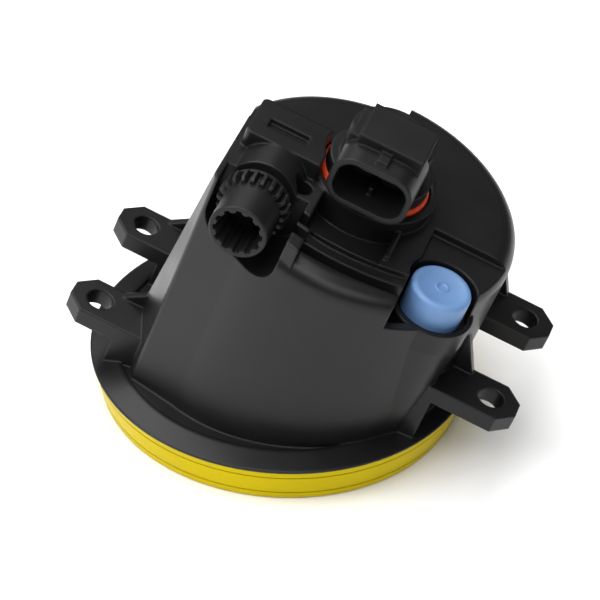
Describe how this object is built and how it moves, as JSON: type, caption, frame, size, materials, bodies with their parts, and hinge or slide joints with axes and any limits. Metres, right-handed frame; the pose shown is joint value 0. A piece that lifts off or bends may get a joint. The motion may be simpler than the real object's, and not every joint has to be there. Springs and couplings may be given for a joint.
{
  "type": "fog light",
  "caption": "Round car fog light with a yellow lens, black moulded housing with bolt ears, twist-in bulb with plug shell, blue vent cap and a geared aiming screw.",
  "frame": {"origin": "centre of the lens's flat outer face", "axes": "+Z from the lens into the lamp, square to the lens; +X towards the vent cap's side; the lamp's own axis leans 16.64 degrees from +Z towards +X; -Y is the side of the plug and the aiming gear"},
  "size_m": [0.1211, 0.101, 0.0955],
  "materials": {
    "tinted_lens": "clear gloss, yellow",
    "seal_rubber": "matt",
    "housing_plastic": "moulded satin black",
    "metallised_plastic": "vacuum metallised",
    "shield_steel": "satin",
    "spring_steel": "satin",
    "nylon": "satin",
    "base_plastic": "moulded satin black",
    "ring_metal": "satin",
    "holder_metal": "bright",
    "quartz": "clear",
    "tungsten": "drawn",
    "lead_wire": "drawn",
    "tinned_brass": "tinned",
    "silicone": "satin orange-red",
    "cap_plastic": "satin blue",
    "membrane": "matt white",
    "gear_plastic": "satin black",
    "screw_steel": "zinc plated",
    "small_seal": "matt",
    "clip_steel": "satin",
    "nut_plastic": "natural acetal"
  },
  "bodies": {
    "lamp": {"housing": "housing_plastic", "lens": "tinted_lens", "lens_seal": "seal_rubber", "pivot_studs": "nylon", "vent_cap": "cap_plastic", "vent_membrane": "membrane", "adjuster_seal": "small_seal"},
    "adjuster": {"adjuster_gear": "gear_plastic", "adjuster_screw": "screw_steel", "adjuster_clip": "clip_steel"},
    "nut": {"aim_nut": "nut_plastic"},
    "bowl": {"reflector": "metallised_plastic", "bulb_shield": "shield_steel", "shield_clip": "spring_steel"},
    "bulb": {"bulb_base": "base_plastic", "bulb_ring": "ring_metal", "capsule_holder": "holder_metal", "bulb_glass": "quartz", "bulb_filament": "tungsten", "bulb_leads": "lead_wire", "connector_terminals": "tinned_brass", "bulb_seal": "silicone"}
  },
  "joints": [
    {"name": "aim_adjuster", "type": "hinge", "parent": "lamp", "child": "adjuster", "pos_m": [-0.00161, -0.0293, 0.07563], "axis": [0, -1, 0], "range_deg": [-504, 504]},
    {"name": "aim_nut_slide", "type": "slide", "parent": "lamp", "child": "nut", "axis": [0, 1, 0], "range_m": [-0.00185, 0.00185]},
    {"name": "reflector_tilt", "type": "hinge", "parent": "lamp", "child": "bowl", "pos_m": [0.00802, 0, 0.02683], "axis": [0.9581, 0, -0.2864], "range_deg": [-2.7, 2.7]},
    {"name": "bulb_twist", "type": "hinge", "parent": "lamp", "child": "bulb", "pos_m": [0.02119, 0, 0.0709], "axis": [0.2864, 0, 0.9581], "range_deg": [0, 45]}
  ],
  "couplings": [
    {"joint": "aim_nut_slide", "follows": "reflector_tilt", "m_per_rad": -0.037},
    {"joint": "aim_adjuster", "follows": "reflector_tilt", "ratio": -185.98}
  ]
}
